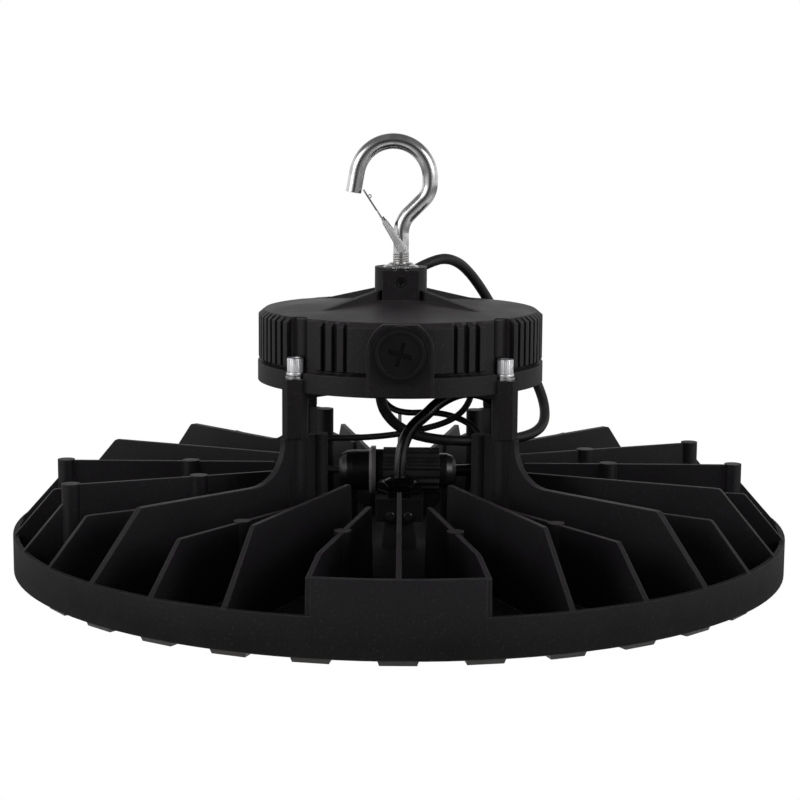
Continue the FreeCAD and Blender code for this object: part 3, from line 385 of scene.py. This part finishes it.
def boardGreen():
    g = Graph("boardGreen")
    tracks = g.add("ShaderNodeTexVoronoi", {"feature": "DISTANCE_TO_EDGE"},
                   {"Vector": g.at, "Scale": 160.0}, 0)
    share = g.range(tracks, 0.02, 0.05, 1.0, 0.0)
    colour = g.mixed(share, rgb(0.012, 0.085, 0.030), rgb(0.022, 0.14, 0.055))
    return g.surface({"Base Color": colour, "Roughness": g.range(share, 0.0, 1.0, 0.35, 0.45)})


def boardWhite():
    g = Graph("boardWhite")
    cloud = g.noise(90.0, 3.0)
    colour = g.mixed(cloud, rgb(0.72, 0.72, 0.70), rgb(0.82, 0.82, 0.80))
    return g.surface({"Base Color": colour, "Roughness": g.range(cloud, 0.3, 0.7, 0.38, 0.5)})


def phosphor():
    g = Graph("phosphor")
    cloud = g.noise(1500.0, 3.0)
    colour = g.mixed(cloud, rgb(0.80, 0.62, 0.12), rgb(0.86, 0.70, 0.20))
    return g.surface({"Base Color": colour, "Roughness": g.range(cloud, 0.3, 0.7, 0.3, 0.42)})


def copperStrands():
    g = Graph("copperStrands")
    turns = g.add("ShaderNodeTexWave", {"wave_type": "BANDS", "bands_direction": "DIAGONAL"},
                  {"Vector": g.at, "Scale": 900.0, "Distortion": 1.0}, "Fac")
    colour = g.mixed(turns, rgb(0.42, 0.17, 0.08), rgb(0.80, 0.42, 0.25))
    normal = g.bump(turns, 0.5, 0.00012)
    rough = g.range(turns, 0.0, 1.0, 0.38, 0.25)
    return g.surface({"Base Color": colour, "Roughness": rough, "Metallic": 1.0, "Normal": normal})


finishes = {"smokyLens": smokyLens(), "boardGreen": boardGreen(), "boardWhite": boardWhite(),
            "phosphor": phosphor(), "copperStrands": copperStrands()}
for name in powderCoats:
    finishes[name] = powderCoat(name)
for name in zincFinishes:
    finishes[name] = zincPlate(name)
for name in mouldings:
    finishes[name] = moulding(name)
for name in cordSheaths:
    finishes[name] = cordSheath(name)
for lead in leads:
    lead["piece"].data.materials.append(finishes[lead["finish"]])

finishOfSlot = {
    "black_cast": "castBlack", "driver_black": "driverBlack", "smoky_lens": "smokyLens",
    "silicone": "siliconeGrey", "led_board": "boardWhite", "led_chip": "phosphor", "zinc": "zincPlate",
    "black_steel": "blackOxide", "spring_steel": "zincPlate", "circuit_board": "boardGreen",
    "potting_black": "pottingBlack", "black_nylon": "blackNylon", "coupling_nylon": "couplingNylon",
    "seal_rubber": "sealRubber", "cord_rubber": "satinCord", "core_insulation": "copperStrands",
}
finishOfNode = {"knockout_plug": "plugNylon", "connector_socket": "socketNylon",
                "centre_gland_nut": "glossNylon", "centre_gland_body": "glossNylon",
                "cap_screws": "zincPlate", "gate_pin": "cheekZinc", "gate_spring": "latchSteel"}
slotOfNode = {part["node"]: part["material_slot"] for part in frame["record"]["subparts"]}
for node, slot in slotOfNode.items():
    finish = finishes[finishOfNode.get(node, finishOfSlot[slot])]
    mesh = bpy.data.objects[node].data
    mesh.materials.clear()
    mesh.materials.append(finish)
print("materials made:", len(finishes))


# modelling helpers, sizes in millimetres
def mm(*values):
    return tuple(value / 1000.0 for value in values)


def onlyPiece(piece):
    bpy.ops.object.select_all(action="DESELECT")
    piece.select_set(True)
    bpy.context.view_layer.objects.active = piece


def roundBar(name, radius, low, high, sides, x=0.0, y=0.0):
    bpy.ops.object.select_all(action="DESELECT")
    bpy.ops.mesh.primitive_cylinder_add(vertices=sides, radius=radius / 1000.0, depth=(high - low) / 1000.0,
                                        location=mm(x, y, (low + high) / 2))
    bar = bpy.context.object
    bar.name = name
    bar.data.name = name
    bpy.ops.object.transform_apply(location=True, rotation=True, scale=True)
    return bar


def editFaces(piece, wanted):  # leaves edit mode on, with the wanted faces selected
    bpy.context.view_layer.objects.active = piece
    bpy.ops.object.mode_set(mode="EDIT")
    bpy.ops.mesh.select_mode(type="FACE")
    bpy.ops.mesh.select_all(action="DESELECT")
    bpy.ops.object.mode_set(mode="OBJECT")
    for face in piece.data.polygons:
        face.select = wanted(face.center * 1000.0, face.normal)
    bpy.ops.object.mode_set(mode="EDIT")


def carve(piece, cutter):
    onlyPiece(piece)
    cut = piece.modifiers.new("cut", "BOOLEAN")
    cut.operation = "DIFFERENCE"
    cut.solver = "EXACT"
    cut.object = cutter
    bpy.ops.object.modifier_apply(modifier="cut")
    bpy.data.objects.remove(cutter)


def joinPieces(parts, name):
    bpy.ops.object.select_all(action="DESELECT")
    for part in parts:
        part.select_set(True)
    bpy.context.view_layer.objects.active = parts[0]
    bpy.ops.object.join()
    parts[0].name = name
    return parts[0]


def copiesRound(piece, angles, name):  # copies turned about the middle axis, joined as one set
    copies = [piece]
    for angle in angles[1:]:
        onlyPiece(piece)
        bpy.ops.object.duplicate()
        twin = bpy.context.object
        twin.data.transform(Matrix.Rotation(math.radians(angle - angles[0]), 4, "Z"))
        copies.append(twin)
    joinPieces(copies, name)


def finishPiece(piece, finish, node=None, body="fixture", smooth=35.0):
    onlyPiece(piece)
    bpy.ops.object.shade_smooth_by_angle(angle=math.radians(smooth))
    edgeUse = {}
    for face in piece.data.polygons:
        for key in face.edge_keys:
            edgeUse[key] = edgeUse.get(key, 0) + 1
    openEdges = sum(1 for count in edgeUse.values() if count != 2)
    piece.data.materials.clear()
    piece.data.materials.append(finishes[finish])
    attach(piece, body)
    if node:
        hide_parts(node)
    print(piece.name, "faces", len(piece.data.polygons), "open edges", openEdges)


legScrew = {"circle": 73.54, "angles": [45.0, 135.0, 225.0, 315.0], "seat": 108.4, "radius": 4.0,
            "height": 7.0, "sides": 48, "groove": 0.22, "grooveEdge": 0.06, "rim": 0.45,
            "socket": 2.35, "socketDepth": 3.4, "shankRadius": 2.5, "foot": 88.0, "tip": 0.4}


def firstLeg():  # where the first leg stands on its circle
    angle = math.radians(legScrew["angles"][0])
    return legScrew["circle"] * math.cos(angle), legScrew["circle"] * math.sin(angle)


def makeLegScrews():
    size = legScrew
    x, y = firstLeg()
    top = size["seat"] + size["height"]
    screw = roundBar("legScrews", size["radius"], size["seat"], top, size["sides"], x, y)
    editFaces(screw, lambda at, normal: normal.z > 0.9)
    bpy.ops.mesh.bevel(offset=size["rim"] / 1000.0, segments=2, affect="EDGES")

    def grooved(at, normal):
        turn = math.degrees(math.atan2(at.y - y, at.x - x)) % 360.0
        return abs(normal.z) < 0.1 and int(turn / (360.0 / size["sides"])) % 2 == 0

    editFaces(screw, grooved)
    bpy.ops.mesh.inset(thickness=size["grooveEdge"] / 1000.0, depth=-size["groove"] / 1000.0,
                       use_individual=True)
    editFaces(screw, lambda at, normal: normal.z < -0.9 and at.z < size["seat"] + 0.1)
    bpy.ops.mesh.inset(thickness=(size["radius"] - size["shankRadius"]) / 1000.0)
    shank = mm(0, 0, size["foot"] - size["seat"])
    bpy.ops.mesh.extrude_region_move(TRANSFORM_OT_translate={"value": shank})
    bpy.ops.mesh.bevel(offset=size["tip"] / 1000.0, segments=1, affect="EDGES")
    bpy.ops.object.mode_set(mode="OBJECT")
    hexKey = roundBar("hexKey", size["socket"], top - size["socketDepth"], top + 2.0, 6, x, y)
    carve(screw, hexKey)
    copiesRound(screw, size["angles"], "legScrewSet")
    finishPiece(screw, "headZinc", "leg_screws")


makeLegScrews()

springWasher = {"low": 106.5, "thick": 1.5, "inner": 2.7, "outer": 4.35, "rise": 0.4, "gap": 14.0,
                "steps": 44, "corner": 0.22, "turn": 200.0}


def makeSpringWashers():
    size = springWasher
    bpy.ops.object.select_all(action="DESELECT")
    middle = (size["inner"] + size["outer"]) / 2
    bpy.ops.mesh.primitive_plane_add(size=1.0, location=mm(middle, 0, size["low"] + size["thick"] / 2),
                                     rotation=(math.radians(90.0), 0, 0))
    washer = bpy.context.object
    washer.scale = mm(size["outer"] - size["inner"], size["thick"], 1)
    bpy.ops.object.transform_apply(location=True, rotation=True, scale=True)
    bpy.ops.object.mode_set(mode="EDIT")
    bpy.ops.mesh.select_all(action="SELECT")
    bpy.ops.mesh.bevel(offset=size["corner"] / 1000.0, segments=2, affect="VERTICES")
    bpy.ops.mesh.select_all(action="SELECT")
    bpy.ops.mesh.spin(steps=size["steps"], angle=math.radians(360.0 - size["gap"]), center=(0, 0, 0),
                      axis=(0, 0, 1))
    bpy.ops.mesh.select_all(action="SELECT")
    bpy.ops.mesh.normals_make_consistent(inside=False)
    bpy.ops.object.mode_set(mode="OBJECT")
    for vertex in washer.data.vertices:  # one end stands a little above the other
        turn = math.atan2(vertex.co.y, vertex.co.x) % (2 * math.pi)
        vertex.co.z += size["rise"] / 1000.0 * turn / (2 * math.pi)
    gapAway = Matrix.Rotation(math.radians(size["turn"]), 4, "Z")
    washer.data.transform(Matrix.Translation(mm(*firstLeg(), 0)) @ gapAway)
    copiesRound(washer, legScrew["angles"], "springWasherSet")
    finishPiece(washer, "headZinc", "spring_washers")


makeSpringWashers()

shankThread = {"low": 157.2, "high": 164.3, "pitch": 1.25, "flank": 0.42, "root": 3.9, "crest": 4.28,
               "steps": 40}


def makeShankThread():
    size = shankThread
    bpy.ops.object.select_all(action="DESELECT")
    width = size["pitch"] * size["flank"]
    bpy.ops.mesh.primitive_circle_add(vertices=4, radius=width / 1000.0, location=(0, 0, 0),
                                      rotation=(math.radians(90.0), 0, 0), fill_type="NOTHING")
    thread = bpy.context.object
    thread.scale = ((size["crest"] - size["root"]) / width, 1.0, 1.0)
    bpy.ops.object.transform_apply(location=True, rotation=True, scale=True)
    thread.data.transform(Matrix.Translation(mm(size["root"], 0, size["low"])))
    winding = thread.modifiers.new("winding", "SCREW")
    winding.axis = "Z"
    winding.screw_offset = size["pitch"] / 1000.0
    winding.iterations = int((size["high"] - size["low"]) / size["pitch"])
    winding.steps = size["steps"]
    winding.render_steps = size["steps"]
    bpy.ops.object.modifier_apply(modifier="winding")
    bpy.ops.object.mode_set(mode="EDIT")
    bpy.ops.mesh.select_all(action="SELECT")
    bpy.ops.mesh.fill_holes(sides=4)
    bpy.ops.mesh.normals_make_consistent(inside=False)
    bpy.ops.object.mode_set(mode="OBJECT")
    thread.name = "shankThread"
    finishPiece(thread, "zincThread", smooth=20.0)


makeShankThread()

latch = {
    "pivotHeight": 166.1, "lean": 33.25, "length": 35.75, "sheet": 0.8, "halfGap": 5.5,
    "cheek": {"radius": 2.3, "sides": 36, "forward": 0.5, "reach": 16.0,
              "tipScale": (0.55, 1.0, 0.5), "tipMiddle": -0.2, "edge": 0.16},
    "tongue": {"low": 15.5, "shoulder": 17.5, "neck": 23.0, "half": 2.4, "overhang": 0.5, "edge": 0.14,
               "taper": [(5.0, 1.0), (1.2, 0.85), (0.0, 0.7)]},  # back from the tip, share of width kept
    "loop": {"radius": 1.0, "half": 1.8, "sides": 28, "wall": 0.42, "forward": 0.9, "drop": 4.6},
    "hem": {"radius": 0.32, "length": 16.5, "sides": 10, "edge": 0.1, "tilt": 5.0,
            "place": (-1.75, 0.55, -0.3)},
}


def seatOnPin(piece):  # from upright on the origin to its lean on the hook
    turn = Matrix.Rotation(math.radians(-latch["lean"]), 4, "Y")
    piece.data.transform(Matrix.Translation(mm(0, 0, latch["pivotHeight"])) @ turn)


def makeCheek():
    size = latch["cheek"]
    bpy.ops.object.select_all(action="DESELECT")
    bpy.ops.mesh.primitive_circle_add(vertices=size["sides"], radius=size["radius"] / 1000.0,
                                      fill_type="NGON", location=mm(size["forward"], -latch["halfGap"], 0),
                                      rotation=(math.radians(90.0), 0, 0))
    cheek = bpy.context.object
    bpy.ops.object.transform_apply(location=True, rotation=True, scale=True)
    bpy.ops.object.mode_set(mode="EDIT")
    bpy.ops.mesh.select_mode(type="VERT")
    bpy.ops.mesh.select_all(action="DESELECT")
    bpy.ops.object.mode_set(mode="OBJECT")
    for vertex in cheek.data.vertices:
        vertex.select = vertex.co.z > 0.0001
    bpy.ops.object.mode_set(mode="EDIT")
    bpy.ops.transform.resize(value=size["tipScale"], center_override=mm(size["tipMiddle"], 0, 0))
    bpy.ops.transform.translate(value=mm(0, 0, size["reach"]))
    bpy.ops.mesh.select_all(action="SELECT")
    bpy.ops.mesh.extrude_region_move(TRANSFORM_OT_translate={"value": mm(0, -latch["sheet"], 0)})
    bpy.ops.mesh.select_all(action="SELECT")
    bpy.ops.mesh.normals_make_consistent(inside=False)
    bpy.ops.object.mode_set(mode="OBJECT")
    editFaces(cheek, lambda at, normal: abs(normal.y) > 0.9)
    bpy.ops.mesh.bevel(offset=size["edge"] / 1000.0, segments=2, affect="EDGES")
    bpy.ops.object.mode_set(mode="OBJECT")
    return cheek


def makeTongue():
    size = latch["tongue"]
    reached = size["shoulder"]
    halfWidth = latch["halfGap"] + size["overhang"]
    bpy.ops.object.select_all(action="DESELECT")
    bpy.ops.mesh.primitive_cube_add(size=0.001, location=mm(0, 0, (size["low"] + reached) / 2))
    tongue = bpy.context.object
    tongue.scale = (latch["sheet"], 2 * halfWidth, reached - size["low"])
    bpy.ops.object.transform_apply(location=True, rotation=True, scale=True)
    editFaces(tongue, lambda at, normal: normal.z > 0.9)
    rises = [(size["neck"], size["half"] / halfWidth)]
    rises += [(latch["length"] - back, share) for back, share in size["taper"]]
    for high, share in rises:
        bpy.ops.mesh.extrude_region_move(TRANSFORM_OT_translate={"value": mm(0, 0, high - reached)})
        bpy.ops.transform.resize(value=(1.0, share, 1.0), center_override=mm(0, 0, high))
        reached = high
    bpy.ops.object.mode_set(mode="OBJECT")
    softEdge = tongue.modifiers.new("softEdge", "BEVEL")
    softEdge.width = size["edge"] / 1000.0
    softEdge.segments = 2
    bpy.context.view_layer.objects.active = tongue
    bpy.ops.object.modifier_apply(modifier="softEdge")
    return tongue


def makeLoop():  # the tongue's end is rolled into an open loop
    size = latch["loop"]
    loop = roundBar("tipLoop", size["radius"], -size["half"], size["half"], size["sides"])
    editFaces(loop, lambda at, normal: abs(normal.z) > 0.9)
    bpy.ops.mesh.inset(thickness=size["wall"] / 1000.0, use_individual=True)
    bpy.ops.mesh.bridge_edge_loops()
    bpy.ops.mesh.select_all(action="SELECT")
    bpy.ops.mesh.normals_make_consistent(inside=False)
    bpy.ops.object.mode_set(mode="OBJECT")
    place = Matrix.Translation(mm(size["forward"], 0, latch["length"] - size["drop"]))
    loop.data.transform(place @ Matrix.Rotation(math.radians(90.0), 4, "X"))
    return loop


def makeHem(side):  # rolled hem along a cheek's outer edge
    size = latch["hem"]
    hem = roundBar("hem", size["radius"], 0.0, size["length"], size["sides"])
    editFaces(hem, lambda at, normal: abs(normal.z) > 0.9)
    bpy.ops.mesh.bevel(offset=size["edge"] / 1000.0, segments=1, affect="EDGES")
    bpy.ops.object.mode_set(mode="OBJECT")
    x, outward, z = size["place"]
    tilt = Matrix.Rotation(math.radians(size["tilt"]), 4, "Y")
    hem.data.transform(Matrix.Translation(mm(x, side * (latch["halfGap"] + outward), z)) @ tilt)
    return hem


def makeLatch():
    near = makeCheek()
    onlyPiece(near)
    bpy.ops.object.duplicate()
    far = bpy.context.object
    far.data.transform(Matrix.Translation(mm(0, 2 * latch["halfGap"] + latch["sheet"], 0)))
    body = joinPieces([near, far], "latchCheeks")
    seatOnPin(body)
    finishPiece(body, "cheekZinc", "hook_gate", "gate")
    tongue = joinPieces([makeTongue(), makeLoop(), makeHem(-1), makeHem(1)], "latchTongue")
    seatOnPin(tongue)
    finishPiece(tongue, "latchSteel", "hook_gate", "gate")


makeLatch()
print("fasteners, thread and latch made")


# floor, lamps and background
studio = {"floorHeight": -0.55, "floorSize": 14.0, "floorTone": 0.86, "ambient": 0.20, "front": 0.03,
          "frontHalf": 0.38, "frontFade": 0.10, "sideWall": 0.85, "backWall": 0.75, "backFade": 0.25,
          "ceiling": 0.16, "ceilingFade": (0.30, 0.62), "lampAim": (0.0, 0.0, 0.08)}
lamps = [
    {"name": "topLamp", "place": (0.0, -0.25, 1.35), "size": 1.3, "power": 12.0, "mirrored": False},
    {"name": "leftLamp", "place": (-1.3, -0.9, 0.75), "size": 0.8, "power": 8.0, "mirrored": True},
    {"name": "rightLamp", "place": (1.3, -0.9, 0.75), "size": 0.8, "power": 8.0, "mirrored": True},
    {"name": "backLamp", "place": (0.0, 1.4, 0.9), "size": 1.0, "power": 7.0, "mirrored": False},
]


def makeWorld():  # even light; metal sees bright walls beside and behind, and a dim front
    g = Graph("studioWorld", bpy.data.worlds.new("studioWorld"))
    half, fade = studio["frontHalf"], studio["frontFade"]
    side = g.range(g.maths("ABSOLUTE", g.axis("X")), half - fade, half + fade, 0.0, 1.0)
    behind = g.range(g.axis("Y"), 0.0, studio["backFade"], 0.0, 1.0)
    overhead = g.range(g.axis("Z"), studio["ceilingFade"][0], studio["ceilingFade"][1], 0.0, 1.0)
    walls = g.maths("MAXIMUM", side * studio["sideWall"], behind * studio["backWall"])
    walls = g.maths("MAXIMUM", walls, studio["front"])
    seen = walls * (1.0 - overhead) + overhead * studio["ceiling"]
    path = {name: g.add("ShaderNodeLightPath", {}, {}, name)
            for name in ("Is Camera Ray", "Is Glossy Ray", "Is Transmission Ray")}
    direct = g.maths("MAXIMUM", path["Is Camera Ray"], path["Is Transmission Ray"])
    glossy = path["Is Glossy Ray"]
    level = (1.0 - glossy) * studio["ambient"] + glossy * seen
    level = level * (1.0 - direct) + direct
    sky = g.add("ShaderNodeBackground", {}, {"Color": rgb(1.0, 1.0, 1.0), "Strength": level}, "Background")
    bpy.context.scene.world = g.output(sky, "ShaderNodeOutputWorld")


def makeStudio():
    bpy.ops.object.select_all(action="DESELECT")
    bpy.ops.mesh.primitive_plane_add(size=studio["floorSize"], location=(0, 0, studio["floorHeight"]))
    floor = bpy.context.object
    floor.name = "floor"
    g = Graph("paleFloor")
    seen = g.add("ShaderNodeLightPath", {}, {}, "Is Camera Ray")
    under = g.add("ShaderNodeNewGeometry", {}, {}, "Backfacing")
    tone = studio["floorTone"]
    matte = g.add("ShaderNodeBsdfDiffuse", {}, {"Color": rgb(tone, tone, tone)}, "BSDF")
    glow = g.add("ShaderNodeEmission", {}, {"Color": rgb(1.0, 1.0, 1.0)}, "Emission")
    clear = g.add("ShaderNodeBsdfTransparent", {}, {}, "BSDF")
    above = g.add("ShaderNodeMixShader", {}, {0: seen, 1: matte, 2: glow}, "Shader")
    both = g.add("ShaderNodeMixShader", {}, {0: under, 1: above, 2: clear}, "Shader")
    floor.data.materials.append(g.output(both))

    makeWorld()

    for lamp in lamps:
        bpy.ops.object.select_all(action="DESELECT")
        bpy.ops.object.light_add(type="AREA", location=lamp["place"])
        light = bpy.context.object
        light.name = lamp["name"]
        light.data.size = lamp["size"]
        light.data.energy = lamp["power"]
        light.visible_glossy = lamp["mirrored"]
        aim = Vector(studio["lampAim"]) - Vector(lamp["place"])
        light.rotation_euler = aim.to_track_quat("-Z", "Y").to_euler()


makeStudio()
bpy.context.scene.view_settings.view_transform = "Standard"
print("studio ready")

bpy.context.view_layer.update()
